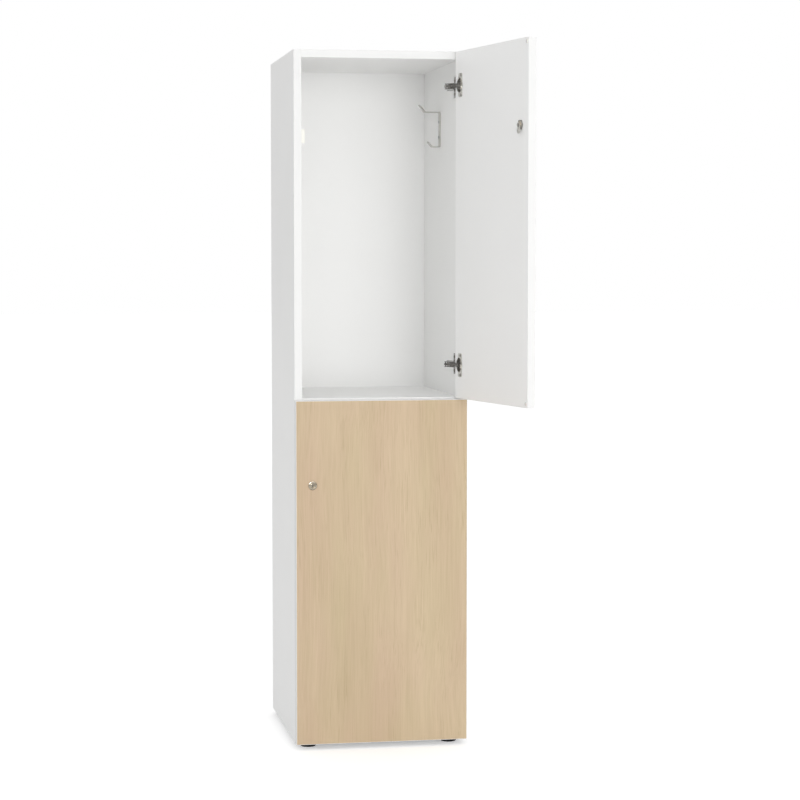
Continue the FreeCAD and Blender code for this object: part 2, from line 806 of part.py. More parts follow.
def lever_screw(tier):
    """The screw that holds the lever on the plug."""
    x, y, z = lock_spot(tier)
    seat = y + s.lock_tail + s.lever_gap + s.lever_sheet
    profile = [
        (zero, zero),
        (s.lever_head_radius, zero),
        (s.lever_head_radius, s.lever_head - s.screw_crown),
        (s.lever_head_radius - s.screw_crown, s.lever_head),
        (zero, s.lever_head),
    ]
    return fasteners(f"{tier}_lever_screw", profile, [(x, seat, z)], BACK, door_pose[tier])


def strike(tier):
    """The angle on the left side that the turned lever catches behind."""
    label = f"{tier}_strike"
    bottom = strike_heights[tier] - s.strike_height / 2
    body = new_body(label, (inner_left, front + s.strike_setback, bottom))
    sketch = new_sketch(body, "z")
    polygon(sketch, [
        (zero, zero), (s.strike_lip, zero), (s.strike_lip, s.strike_sheet),
        (s.strike_sheet, s.strike_sheet), (s.strike_sheet, s.strike_length), (zero, s.strike_length),
    ])
    pad(body, sketch, "z", s.strike_height)
    holes = [(y - front - s.strike_setback, z - bottom) for x, y, z in strike_screw_spots([tier])]
    drill(body, "x", s.strike_sheet, holes, s.screw_radius, s.strike_sheet, -1)
    return node(body, label)


def strike_screw_spots(tiers=("lower", "upper")):
    x = inner_left + s.strike_sheet
    y = front + s.strike_setback + s.strike_screw_back
    offsets = (-s.strike_screw_half, s.strike_screw_half)
    return [(x, y, strike_heights[tier] + offset) for tier in tiers for offset in offsets]


# Coat hooks

def coat_hook(tier):
    """One strip bent into a hat prong above and a coat prong below, screwed to the right side."""
    label = f"{tier}_coat_hook"
    top = hook_tops[tier]
    body = new_body(label, (inner_right, front + s.hook_setback, top))
    sheet_half = s.hook_sheet.value / 2
    wall = -sheet_half
    foot = -s.hook_plate.value
    bend = -s.hook_reach.value
    low = -s.hook_low_reach.value
    path = [
        complex(bend - s.hook_tip_run.value, s.hook_tip_rise.value),
        complex(bend, 0),
        complex(wall, 0),
        complex(wall, foot),
        complex(low, foot),
        complex(low - s.hook_low_run.value, foot + s.hook_low_rise.value),
    ]
    sketch = new_sketch(body, "y", -s.hook_width / 2)
    polygon(sketch, strip_outline(path, s.hook_sheet.value))
    pad(body, sketch, "y", s.hook_width)
    holes = [(zero, z - top) for x, y, z in hook_screw_spots([tier])]
    drill(body, "x", zero, holes, s.screw_radius, s.hook_sheet, -1)
    tips = (path[0], path[-1])

    def at_tip(middle, along):
        beside = abs(abs(middle.y) - s.hook_width.value / 2) < s.pin_fit.value
        near = min(abs(complex(middle.x, middle.z) - tip) for tip in tips) < s.pin_fit.value
        return beside and near

    def at_bend(middle, along):
        across = abs(abs(along.y) - s.hook_width.value) < s.pin_fit.value
        far = min(abs(complex(middle.x, middle.z) - tip) for tip in tips) > s.hook_sheet.value
        return across and far

    round_edges(body, s.hook_width / 2 - s.link_gap, at_tip)
    round_edges(body, s.hook_bend, at_bend)
    return node(body, label)


def hook_screw_spots(tiers=("lower", "upper")):
    x = inner_right - s.hook_sheet
    y = front + s.hook_setback
    drops = (s.hook_screw_drop, s.hook_screw_drop + s.hook_screw_step)
    return [(x, y, hook_tops[tier] - drop) for tier in tiers for drop in drops]


# Concealed hinges

def plate_screw_spots():
    x = inner_right - s.plate_sheet
    y = front + s.plate_setback
    heights = [z for tier in hinge_heights.values() for z in tier]
    return [(x, y, z + offset) for z in heights for offset in (-s.plate_hole_half, s.plate_hole_half)]


def arm_screw_spots():
    x = inner_right - s.arm_height
    rows = (front + s.plate_setback, front + s.plate_setback + s.arm_screw_step)
    return [(x, y, z) for tier in hinge_heights.values() for z in tier for y in rows]


def boss_half():
    return s.outer_link_half + s.link_gap + s.inner_link_width


def cheek_start():
    return boss_half() + s.link_gap


def hinge_plate(label, z):
    """The cross plate on the side panel, with the raised boss that the arm sits on."""
    body = new_body(label, (inner_right, front, z))
    wing = new_sketch(body, "x")
    rectangle(wing, s.plate_setback - s.plate_wing_width / 2, -s.plate_wing_half,
              s.plate_wing_width, s.plate_wing_half * 2)
    pad(body, wing, "x", s.plate_sheet, -1)
    boss = new_sketch(body, "x")
    rectangle(boss, s.arm_web_start + s.boss_clearance, -boss_half(),
              s.arm_end - s.arm_web_start - s.boss_clearance * 2, boss_half() * 2)
    pad(body, boss, "x", s.arm_height - s.arm_sheet, -1)
    rows = [(s.plate_setback, -s.plate_hole_half), (s.plate_setback, s.plate_hole_half)]
    drill(body, "x", -s.plate_sheet, rows, s.screw_radius, s.plate_sheet, 1)
    rows = [(s.plate_setback, zero), (s.plate_setback + s.arm_screw_step, zero)]
    drill(body, "x", -s.arm_height, rows, s.screw_radius, s.screw_length, 1)
    return body


def hinge_arm(label, z):
    """The arm: two cheeks that carry the fixed pins, joined by the web that sits on the boss."""
    body = new_body(label, (inner_right, front, z))
    eye = s.arm_eye
    corner = s.arm_eye * ARM_CORNER_SHARE
    mouth = (-s.mouth_pin_out, -s.mouth_pin_proud)
    rear = (-s.rear_pin_out, s.rear_pin_back)
    outline = [
        (mouth[0] + eye, mouth[1] + corner), (mouth[0] + corner, mouth[1] - eye),
        (mouth[0] - corner, mouth[1] - eye), (rear[0] - eye, rear[1] - corner),
        (rear[0] - eye, rear[1] + corner), (rear[0] - corner, rear[1] + eye),
        (-s.arm_height, s.arm_web_start), (-s.arm_height, s.arm_end),
        (-s.arm_foot, s.arm_end), (-s.arm_foot, s.arm_shoulder),
    ]
    web = new_sketch(body, "z", -cheek_start())
    rectangle(web, -s.arm_height, s.arm_web_start, s.arm_sheet, s.arm_end - s.arm_web_start)
    pad(body, web, "z", cheek_start() * 2)
    for level, sign in ((cheek_start(), 1), (-cheek_start(), -1)):
        cheek = new_sketch(body, "z", level)
        polygon(cheek, outline)
        pad(body, cheek, "z", s.arm_sheet, sign)
    through = cheek_start() + s.arm_sheet
    drill(body, "z", -through, [mouth, rear], s.pin_radius, through * 2, 1)
    rows = [(s.plate_setback, zero), (s.plate_setback + s.arm_screw_step, zero)]
    drill(body, "x", -s.arm_height, rows, s.screw_radius, s.arm_sheet, 1)
    return body


def arm_pins(tier):
    """The rear pin right through the arm, and a short mouth pin in each cheek."""
    inside = s.outer_link_half + s.link_gap
    outside = cheek_start() + s.arm_sheet
    solids = []
    for z in hinge_heights[tier]:
        for plan, start, end in ((rear_pin, -outside, outside), (mouth_pin, inside, outside),
                                 (mouth_pin, -outside, -inside)):
            spot = FreeCAD.Vector(plan.real, plan.imag, (z + start).value)
            solids.append(Part.makeCylinder(s.pin_radius.value, (end - start).value, spot))
    made = doc.addObject("Part::Feature", f"{tier}_arm_pins")
    made.Shape = Part.makeCompound(solids)
    return node(made, f"{tier}_arm_pins")


def link_plate(body, level, width, path, sheet_thickness, eyes):
    """One flat-sided link: a bent strip with a round eye at each end, bored for its pins."""
    strip = new_sketch(body, "z", level)
    polygon(strip, strip_outline(path, sheet_thickness.value))
    pad(body, strip, "z", width)
    for spot, bore in eyes:
        eye = new_sketch(body, "z", level)
        circle(eye, fixed(spot.real), fixed(spot.imag), bore + s.eye_wall)
        pad(body, eye, "z", width)
    for spot, bore in eyes:
        drill(body, "z", level, [(fixed(spot.real), fixed(spot.imag))], bore, width, 1)
    return body


def link_path(start, end, shares):
    """A link's bends, as shares along and across the line between its pins."""
    along = end - start
    return [start] + [start + along * complex(*share) for share in shares] + [end]


def inner_link(label, z, level, tier):
    """A side plate of the inner link, from the arm's mouth pin to the cup's deep pin."""
    body = new_body(label, (zero, zero, z), inner_pose[tier])
    bore = s.pin_radius + s.pin_fit
    path = link_path(mouth_pin, deep_pin, INNER_LINK_SHARES)
    return link_plate(body, level, s.inner_link_width, path, s.inner_link_sheet,
                      [(mouth_pin, bore), (deep_pin, bore)])


def outer_link(label, z, tier):
    """The outer link, on the cup's shallow pin, with a loose eye round the arm's rear pin."""
    body = new_body(label, (zero, zero, z), outer_pose[tier])
    path = link_path(shallow_pin, free_eye, OUTER_LINK_SHARES)
    eyes = [(shallow_pin, s.pin_radius + s.pin_fit), (free_eye, s.pin_radius + s.open_pivot_play)]
    return link_plate(body, -s.outer_link_half, s.outer_link_half * 2, path, s.outer_link_sheet, eyes)


def hinge_cup(label, z, tier):
    """The pressed cup with its two-winged flange, bored for the link pins and the screws."""
    body = new_body(label, (cup_middle, door_inner, z), door_pose[tier])
    flange = new_sketch(body, "y")
    polygon(flange, [(s.flange_near, -s.flange_half), (s.flange_near, s.flange_half),
                     (-s.flange_far, s.flange_half), (-s.flange_far, -s.flange_half)])
    pad(body, flange, "y", s.flange_sheet)
    cup = new_sketch(body, "y")
    circle(cup, zero, zero, s.cup_radius)
    pad(body, cup, "y", s.cup_depth, -1)
    drill(body, "y", s.flange_sheet, [(zero, zero)], s.cup_radius - s.cup_sheet,
          s.flange_sheet + s.cup_depth - s.cup_sheet, -1)
    for side, depth in ((s.deep_pin_side, s.deep_pin_depth), (s.shallow_pin_side, s.shallow_pin_depth)):
        half = cup_pin_half(side)
        drill(body, "z", -half, [(side, -depth)], s.pin_radius, half * 2, 1)
    screws = [(-s.cup_screw_back, -s.cup_screw_half), (-s.cup_screw_back, s.cup_screw_half)]
    drill(body, "y", s.flange_sheet, screws, s.screw_radius, s.flange_sheet, -1)

    def at_corner(middle, along):
        across = abs(abs(along.y) - s.flange_sheet.value) < s.pin_fit.value
        return across and abs(abs(middle.z) - s.flange_half.value) < s.pin_fit.value

    round_edges(body, s.flange_near, at_corner)
    return body


def cup_pin_half(side):
    """Half the length of a cup pin: it ends in the cup's wall, just short of the board round the cup."""
    edge = (side + s.pin_radius).value
    return fixed(math.sqrt(s.cup_radius.value ** 2 - edge ** 2) - s.pin_fit.value)


def cup_screw_spots(tier):
    x = cup_middle - s.cup_screw_back
    y = door_inner + s.flange_sheet
    offsets = (-s.cup_screw_half, s.cup_screw_half)
    return [(x, y, z + offset) for z in hinge_heights[tier] for offset in offsets]


def cup_pins(tier):
    """The two pins that cross each cup and carry the links."""
    solids = []
    for z in hinge_heights[tier]:
        for pin, side in ((deep_pin, s.deep_pin_side), (shallow_pin, s.shallow_pin_side)):
            half = cup_pin_half(side)
            spot = FreeCAD.Vector(pin.real, pin.imag, (z - half).value)
            solids.append(Part.makeCylinder(s.pin_radius.value, (half * 2).value, spot))
    made = doc.addObject("Part::Feature", f"{tier}_cup_pins")
    made.Shape = Part.makeCompound(solids)
    made.Placement = door_pose[tier] or FreeCAD.Placement()
    return node(made, f"{tier}_cup_pins")


def hinges(tier):
    """Both hinges of a door, like pieces together."""
    plates, arms, inner, outer, cups = [], [], [], [], []
    for i, z in enumerate(hinge_heights[tier], start=1):
        plates.append(hinge_plate(f"{tier}_plate_{i}", z))
        arms.append(hinge_arm(f"{tier}_arm_{i}", z))
        low = -(s.outer_link_half + s.link_gap + s.inner_link_width)
        inner.append(inner_link(f"{tier}_inner_low_{i}", z, low, tier))
        inner.append(inner_link(f"{tier}_inner_high_{i}", z, s.outer_link_half + s.link_gap, tier))
        outer.append(outer_link(f"{tier}_outer_{i}", z, tier))
        cups.append(hinge_cup(f"{tier}_cup_{i}", z, tier))
    group(f"{tier}_hinge_plates", plates)
    group(f"{tier}_hinge_arms", arms)
    group(f"{tier}_inner_links", inner)
    group(f"{tier}_outer_links", outer)
    group(f"{tier}_hinge_cups", cups)
    arm_pins(tier)
    cup_pins(tier)
    fasteners(f"{tier}_cup_screws", SCREW, cup_screw_spots(tier), BACK, door_pose[tier])


# Assembly

side_panel("left_side_panel", inner_left, -1)
side_panel("right_side_panel", inner_right, 1)
for level_label, level_bottom in level_bottoms.items():
    level_board(level_label, level_bottom)
back_panel()
carcass_edge_bands()
board_fittings()
fasteners("back_screws", SCREW, back_screw_spots(), BACK)
feet()
for tier_name in ("lower", "upper"):
    door_board(tier_name)
    door_face(tier_name)
    door_edging(tier_name)
    door_bumpers(tier_name)
    lock_barrel(tier_name)
    lock_nut(tier_name)
    lock_plug(tier_name)
    lock_lever(tier_name)
    lever_screw(tier_name)
    strike(tier_name)
    coat_hook(tier_name)
    hinges(tier_name)
fasteners("strike_screws", SCREW, strike_screw_spots(), RIGHT)
fasteners("hook_screws", SCREW, hook_screw_spots(), LEFT)
fasteners("hinge_plate_screws", SCREW, plate_screw_spots(), LEFT)
fasteners("hinge_arm_screws", SCREW, arm_screw_spots(), LEFT)

# Check every object, then write one file for each node

doc.recompute()
for item in doc.Objects:
    if "Invalid" in item.State or "Error" in item.State:
        raise RuntimeError(f"{item.Label} did not build: {item.State}")
os.makedirs("parts", exist_ok=True)
for piece in nodes:
    shape = piece.Shape
    if shape.isNull() or not shape.isValid() or shape.Volume <= 0:
        raise RuntimeError(f"{piece.Label} has no valid solid")
    shape.exportStep(f"parts/{piece.Label}.step")
    print(piece.Label, len(shape.Solids), "solids", round(shape.Volume), "mm3")
print(len(nodes), "nodes")
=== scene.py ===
# %% [markdown]
# # A two-tier locker in a white studio
#
# The locker is white melamine board with doors faced in light oak laminate.
# Its shapes were drawn to real size beforehand and come in as fixed parts, so
# this lesson gives each part its finish, makes the lock faces and the screws
# once more with fuller shapes, and then sets the floor, the light and the
# camera.

# %% Load the parts
import json
import math

import bpy
import numpy as np
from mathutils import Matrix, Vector


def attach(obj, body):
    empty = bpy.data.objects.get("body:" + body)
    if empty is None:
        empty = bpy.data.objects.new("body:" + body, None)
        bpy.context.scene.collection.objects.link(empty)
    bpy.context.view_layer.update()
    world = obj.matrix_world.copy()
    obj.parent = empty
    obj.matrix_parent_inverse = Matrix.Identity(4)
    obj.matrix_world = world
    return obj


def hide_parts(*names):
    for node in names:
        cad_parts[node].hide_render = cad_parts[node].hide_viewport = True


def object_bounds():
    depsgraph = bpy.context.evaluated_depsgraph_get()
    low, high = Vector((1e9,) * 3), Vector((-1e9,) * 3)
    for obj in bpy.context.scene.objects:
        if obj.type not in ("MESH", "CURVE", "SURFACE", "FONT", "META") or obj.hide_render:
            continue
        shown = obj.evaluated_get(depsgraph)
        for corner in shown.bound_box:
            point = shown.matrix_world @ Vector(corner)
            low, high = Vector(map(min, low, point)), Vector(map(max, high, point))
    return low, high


TIERS = ("lower", "upper")
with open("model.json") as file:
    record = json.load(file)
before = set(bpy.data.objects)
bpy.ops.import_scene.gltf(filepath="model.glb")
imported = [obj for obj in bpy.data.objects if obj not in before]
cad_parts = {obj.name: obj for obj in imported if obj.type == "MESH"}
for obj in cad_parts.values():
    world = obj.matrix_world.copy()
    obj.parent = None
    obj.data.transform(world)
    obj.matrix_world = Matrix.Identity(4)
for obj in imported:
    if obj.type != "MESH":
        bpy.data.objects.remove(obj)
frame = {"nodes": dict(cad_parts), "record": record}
cad_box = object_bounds()
joints = {joint["name"]: joint for joint in frame["record"]["behaviour"]["joints"]}

# %% [markdown]
# ## Colours and nodes
#
# Colours are picked as sRGB hex, as a paint card gives them, and the renderer
# works in linear light, so one function turns one into the other. A second
# adds a node with its settings and links. A third starts every finish: it makes
# the material and its Principled shader, and sets there the numbers that are
# the same all over the surface.

# %% Helpers for finishes
def linear(hex_colour):
    """sRGB hex to linear RGBA: v/12.92 below 0.04045, otherwise ((v + 0.055)/1.055)^2.4."""
    srgb = np.array([int(hex_colour[i:i + 2], 16) for i in (1, 3, 5)]) / 255
    light = np.where(srgb <= 0.04045, srgb / 12.92, ((srgb + 0.055) / 1.055) ** 2.4)
    return (*light.tolist(), 1.0)


def add_node(tree, kind, inputs=None, **settings):
    """Add one node, set its options, and set or link its inputs by name or number."""
    node = tree.nodes.new(kind)
    for name, value in settings.items():
        setattr(node, name, value)
    for name, value in (inputs or {}).items():
        if isinstance(value, bpy.types.NodeSocket):
            tree.links.new(value, node.inputs[name])
        else:
            node.inputs[name].default_value = value
    return node


def start_finish(name, **constants):
    """A new material: its tree, its shader with the even values set, and the object coordinates."""
    material = bpy.data.materials.new(name)
    material.use_nodes = True
    tree = material.node_tree
    shader = tree.nodes["Principled BSDF"]
    for socket, value in constants.items():
        shader.inputs[socket.replace("_", " ")].default_value = value
    place = add_node(tree, "ShaderNodeTexCoord").outputs["Object"]
    return material, tree, shader, place


def per_metre(size_mm):
    """Noise scale for a pattern whose features are this many millimetres apart."""
    return 1000 / size_mm


def blend_colours(tree, amount, first_hex, second_hex):
    """A ramp from one colour to another by a grey amount."""
    ramp = add_node(tree, "ShaderNodeValToRGB", {"Fac": amount})
    ramp.color_ramp.elements[0].color = linear(first_hex)
    ramp.color_ramp.elements[1].color = linear(second_hex)
    return ramp.outputs["Color"]


print("half-way grey in linear light:", round(linear("#808080")[0], 3))

# %% [markdown]
# ## White melamine board
#
# Chipboard is faced with paper soaked in melamine resin and pressed against a
# finely grained plate. The eye gets a clean white with a soft sheen, broken by
# a pearl grain of about 1.5 mm and by slow differences that are hardly there.
# A bump from fine noise gives the grain, and one wide noise moves the tone.
# The ABS band on the edges is extruded, smoother and a touch greyer, and the
# strikes that the locks close on have a creamy powder coat.

# %% White finishes
CLOUD_MM = 180
SHEEN_SPREAD = 0.06


def white_sheet(name, shade_hex, light_hex, roughness, grain_mm, grain_depth):
    """White sheet: wide noise blends two whites, and fine noise is the pearl grain."""
    material, tree, shader, place = start_finish(name, IOR=1.5)
    wide = add_node(tree, "ShaderNodeTexNoise", {"Vector": place, "Scale": per_metre(CLOUD_MM),
                                                 "Detail": 2.0})
    tone = blend_colours(tree, wide.outputs["Fac"], shade_hex, light_hex)
    tree.links.new(tone, shader.inputs["Base Color"])
    grain = add_node(tree, "ShaderNodeTexNoise", {"Vector": place, "Scale": per_metre(grain_mm),
                                                  "Detail": 3.0})
    gloss = add_node(tree, "ShaderNodeMapRange", {"Value": grain.outputs["Fac"],
                     "To Min": roughness - SHEEN_SPREAD, "To Max": roughness + SHEEN_SPREAD})
    tree.links.new(gloss.outputs["Result"], shader.inputs["Roughness"])
    bump = add_node(tree, "ShaderNodeBump", {"Height": grain.outputs["Fac"], "Strength": 0.3,
                                             "Distance": grain_depth})
    tree.links.new(bump.outputs["Normal"], shader.inputs["Normal"])
    return material


finishes = {
    "white_board": white_sheet("white melamine board", "#F7F7F6", "#FBFBFA", 0.42, 1.5, 0.00008),
    "white_edging": white_sheet("white ABS edge band", "#E8E8E7", "#EDEDEC", 0.36, 2.5, 0.00004),
    "white_coat": white_sheet("creamy powder coat", "#EFEEE6", "#F4F3EB", 0.38, 1.0, 0.00006),
}
print("white finishes:", sorted(finishes))

# %% [markdown]
# ## Light oak laminate
#
# The door fronts are a printed paper under clear resin: a calm oak with its
# grain upright. The eye sees soft bands some 90 mm wide, broken streaks of a
# few millimetres inside them, and short dark pores that come in clusters. Each
# is noise drawn out along Z, at its own width, and a slow warp keeps the lines
# from being ruler straight. The tones are close together, because the print is
# pale and quiet, and a second slow noise moves the hue between straw and rose.
# Real pores are under 0.5 mm wide, too fine to show here, so they are drawn
# 1.8 mm wide.

# %% Oak laminate
BANDS = ((0.45, 90, 7, 2.0), (0.25, 8, 34, 3.0), (0.3, 2.4, 48, 2.0))
HUE_MM, CLUSTER_MM, PORE_MM = 70, 30, 1.8
PORE_STRENGTH = 0.42
SWAY_MM = 320
SWAY_METRES = 0.03


def oak_laminate():
    """Upright noises blended into oak tones, with clusters of pores in a darker colour.

    A row of BANDS is a share of the tone, a width in mm, how far it is drawn out, and its detail.
    """
    material, tree, shader, place = start_finish("light oak laminate", IOR=1.5)
    slow = add_node(tree, "ShaderNodeTexNoise", {"Vector": place, "Scale": per_metre(SWAY_MM), "Detail": 1.0})
    sway = add_node(tree, "ShaderNodeVectorMath", {0: slow.outputs["Color"], 1: (0.5, 0.5, 0.5)},
                    operation="SUBTRACT")
    warp = add_node(tree, "ShaderNodeVectorMath", {0: sway.outputs["Vector"],
                    1: (SWAY_METRES, SWAY_METRES, 0.0), 2: place}, operation="MULTIPLY_ADD")

    def upright(width_mm, draw_out, detail):
        """Noise of a width in mm that is drawn out along Z."""
        drawn = add_node(tree, "ShaderNodeVectorMath", {0: warp.outputs["Vector"],
                         1: (1.0, 1.0, 1 / draw_out)}, operation="MULTIPLY")
        return add_node(tree, "ShaderNodeTexNoise", {"Vector": drawn.outputs["Vector"],
                        "Scale": per_metre(width_mm), "Detail": detail, "Roughness": 0.6}).outputs["Fac"]

    mixed = 0.0
    for share, width_mm, draw_out, detail in BANDS:
        mixed = add_node(tree, "ShaderNodeMath", {0: upright(width_mm, draw_out, detail), 1: share,
                         2: mixed}, operation="MULTIPLY_ADD").outputs["Value"]
    tone = add_node(tree, "ShaderNodeMapRange", {"Value": mixed, "From Min": 0.36,
                    "From Max": 0.64}).outputs["Result"]
    straw = blend_colours(tree, tone, "#BDAC88", "#CCBB97")
    rose = blend_colours(tree, tone, "#C2A78C", "#D1B79E")
    wood = add_node(tree, "ShaderNodeMixRGB", {"Fac": upright(HUE_MM, 4, 1.0), "Color1": straw,
                                               "Color2": rose})
    pores = add_node(tree, "ShaderNodeMapRange", {"Value": upright(PORE_MM, 44, 1.0), "From Min": 0.55,
                     "From Max": 0.7, "To Max": PORE_STRENGTH}).outputs["Result"]
    cluster = add_node(tree, "ShaderNodeMapRange", {"Value": upright(CLUSTER_MM, 9, 1.0), "From Min": 0.38,
                       "From Max": 0.64}).outputs["Result"]
    deep = add_node(tree, "ShaderNodeMath", {0: pores, 1: cluster}, operation="MULTIPLY").outputs["Value"]
    colour = add_node(tree, "ShaderNodeMixRGB", {"Fac": deep, "Color1": wood.outputs["Color"],
                      "Color2": linear("#A8916E")})
    tree.links.new(colour.outputs["Color"], shader.inputs["Base Color"])
    gloss = add_node(tree, "ShaderNodeMapRange", {"Value": mixed, "To Min": 0.42, "To Max": 0.58})
    tree.links.new(gloss.outputs["Result"], shader.inputs["Roughness"])
    bump = add_node(tree, "ShaderNodeBump", {"Height": deep, "Strength": 0.25, "Distance": 0.0001},
                    invert=True)
    tree.links.new(bump.outputs["Normal"], shader.inputs["Normal"])
    return material


finishes["oak_laminate"] = oak_laminate()
print("oak laminate made with", len(finishes["oak_laminate"].node_tree.nodes), "nodes")

# %% [markdown]
# ## Plated metals
#
# The hinges, hooks and levers are pressed steel with a nickel plate. It is one
# plate, but the hinges' plates, arms, links and pins get a darker tone as
# painted shade and painted dark reflection, and the cups, the cam levers and
# the hooks get lighter tones as painted light. The lock's face is polished
# nickel, a little warmer. Some screws are zinc, which has cloudy patches. Each
# is a full metal whose roughness moves with two noises: patches a few
# millimetres wide, and fine marks from rolling, which are drawn out along Z.

# %% Nickel, lock plate and zinc
MARK_MM = 0.6
ROLLED = (1.0, 1.0, 0.12)


def plated(name, dark_hex, light_hex, roughness, spread, patch_mm, mark_depth):
    """Plated metal: patch noise blends two tones and drawn-out noise marks the surface."""
    material, tree, shader, place = start_finish(name, Metallic=1.0)
    patch = add_node(tree, "ShaderNodeTexNoise", {"Vector": place, "Scale": per_metre(patch_mm),
                                                  "Detail": 3.0})
    tone = blend_colours(tree, patch.outputs["Fac"], dark_hex, light_hex)
    tree.links.new(tone, shader.inputs["Base Color"])
    drawn = add_node(tree, "ShaderNodeVectorMath", {0: place, 1: ROLLED}, operation="MULTIPLY")
    marks = add_node(tree, "ShaderNodeTexNoise", {"Vector": drawn.outputs["Vector"],
                     "Scale": per_metre(MARK_MM), "Detail": 2.0})
    both = add_node(tree, "ShaderNodeMath", {0: patch.outputs["Fac"], 1: marks.outputs["Fac"]},
                    operation="MULTIPLY")
    gloss = add_node(tree, "ShaderNodeMapRange", {"Value": both.outputs["Value"], "From Max": 0.5,
                     "To Min": roughness - spread, "To Max": roughness + spread})
    tree.links.new(gloss.outputs["Result"], shader.inputs["Roughness"])
    bump = add_node(tree, "ShaderNodeBump", {"Height": marks.outputs["Fac"], "Strength": 0.2,
                                             "Distance": mark_depth})
    tree.links.new(bump.outputs["Normal"], shader.inputs["Normal"])
    return material


LOCK_PLATE = ("#AFA594", "#C3B9A8", 0.2, 0.05, 9, 0.000005)
finishes |= {
    "nickel": plated("nickel-plated pressed steel", "#8E8C88", "#A5A39E", 0.27, 0.08, 6, 0.00002),
    # The hinge tone below is painted shade and painted dark reflection; the cup, lever and hook tones are
    # painted light.
    "nickel_painted_shade": plated("nickel on hinges, painted shade", "#6A6865", "#83817E", 0.22, 0.08, 5, 0.00002),
    "nickel_painted_light": plated("nickel on cups and levers, painted light", "#C4C2BD", "#D6D4CF", 0.3, 0.08, 6, 0.00001),
    "hook_nickel_painted_light": plated("nickel on hooks, painted light", "#AEACA7", "#C2C0BB", 0.3, 0.08, 6, 0.00001),
    "bright_lock": plated("polished nickel plate", *LOCK_PLATE),
    "zinc": plated("zinc-plated steel", "#8C8F91", "#A8ABAC", 0.36, 0.1, 2.5, 0.00002),
}
print("finishes so far:", sorted(finishes))

# %% [markdown]
# ## Plastics and dowels
#
# The feet are black polypropylene out of a spark-eroded mould, so they have an
# even fine grain and dull highlights. The bumper pads are soft clear
# polyurethane that looks milky on white. The dowels are turned beech, hidden
# in the joints. One function serves them: two tones by noise, and a grain that
# moves the gloss and the surface.

# %% Feet, bumpers and dowels
GRAIN_SPREAD = 0.08


def grained(name, dark_hex, light_hex, roughness, grain_mm, depth, draw_out, **constants):
    """Moulded or turned stuff: noise, drawn out along X where it is wood, gives tone and grain."""
    material, tree, shader, place = start_finish(name, **constants)
    drawn = add_node(tree, "ShaderNodeVectorMath", {0: place, 1: (1 / draw_out, 1.0, 1.0)},
                     operation="MULTIPLY")
    grain = add_node(tree, "ShaderNodeTexNoise", {"Vector": drawn.outputs["Vector"],
                     "Scale": per_metre(grain_mm), "Detail": 3.0})
    tone = blend_colours(tree, grain.outputs["Fac"], dark_hex, light_hex)
    tree.links.new(tone, shader.inputs["Base Color"])
    gloss = add_node(tree, "ShaderNodeMapRange", {"Value": grain.outputs["Fac"],
                     "To Min": roughness - GRAIN_SPREAD, "To Max": roughness + GRAIN_SPREAD})
    tree.links.new(gloss.outputs["Result"], shader.inputs["Roughness"])
    bump = add_node(tree, "ShaderNodeBump", {"Height": grain.outputs["Fac"], "Strength": 0.5,
                                             "Distance": depth})
    tree.links.new(bump.outputs["Normal"], shader.inputs["Normal"])
    return material


finishes |= {
    "black_plastic": grained("black moulded polypropylene", "#121213", "#1E1E1F", 0.5, 0.8, 0.0001, 1,
                             IOR=1.49),
    "soft_bumper": grained("milky polyurethane", "#D2D2CE", "#E2E2DF", 0.35, 3, 0.00002, 1,
                           IOR=1.5, Subsurface_Weight=0.3, Subsurface_Scale=0.002),
    "beech": grained("turned beech", "#B98F62", "#D1AD82", 0.6, 1.2, 0.00005, 14, IOR=1.5),
}
print("finishes:", len(finishes))

# %% [markdown]
# ## Put the finishes on
#
# The record names a material slot for every part, and each slot has a finish
# here, so one short loop dresses them all. Some nickel parts take another tone
# of the same plate: the hinges' plates, arms, links and pins carry a darker tone
# as painted shade, the cups and the cam levers a lighter one as painted light,
# and the hooks a painted light between these and the plain plate.

# %% Dress the parts
# Painted shade for the hinge parts and painted light for the cups, levers and hooks, chosen by the ends of
# their names.
NICKEL_PAINTED_LIGHT_AND_SHADE = {"nickel_painted_shade": ("hinge_plates", "hinge_arms", "links", "arm_pins", "cup_pins"),
                "nickel_painted_light": ("hinge_cups", "lock_lever"),
                "hook_nickel_painted_light": ("coat_hook",)}


def dress(part, finish):
    """Put one finish in every material slot of a part."""
    if not part.material_slots:
        part.data.materials.append(finish)
    for slot in part.material_slots:
        slot.material = finish


slots = {row["node"]: row["material_slot"] for row in frame["record"]["subparts"]}
for node, slot in slots.items():
    kinds = [kind for kind, endings in NICKEL_PAINTED_LIGHT_AND_SHADE.items() if node.endswith(endings)]
    dress(frame["nodes"][node], finishes[kinds[0] if kinds else slot])
print("dressed", len(slots), "parts")

# %% [markdown]
# ## Reading the locks
#
# New lock pieces have to sit just where the drawn ones do. Each lock's joint
# gives its axis, so a drawn part's points are read as places across that axis
# and levels along it, and new points are put back in the same way.

# %% Lock axes
UP = np.array([0.0, 0.0, 1.0])


def mesh_points(node):
    """A drawn part's points as rows of x, y, z in metres."""
    mesh = frame["nodes"][node].data
    points = np.empty(len(mesh.vertices) * 3)
    mesh.vertices.foreach_get("co", points)
    return points.reshape(-1, 3)


class LockAxis:
    """A lock's start, its direction from front to back, and the level direction across it."""

    def __init__(self, joint):
        self.start, self.along = np.array(joint["pos_m"]), np.array(joint["axis"])
        self.across = np.cross(UP, self.along)

    def read(self, node):
        """A drawn part's points as places across the axis and levels along it."""
        points = mesh_points(node) - self.start
        return np.stack([points @ self.across, points @ UP], -1), points @ self.along

    def place(self, outlines, levels):
        """Points of rings: o + x u + y v + t w for places x, y and levels t."""
        return (self.start + outlines[..., :1] * self.across + outlines[..., 1:] * UP
                + levels[..., None] * self.along)


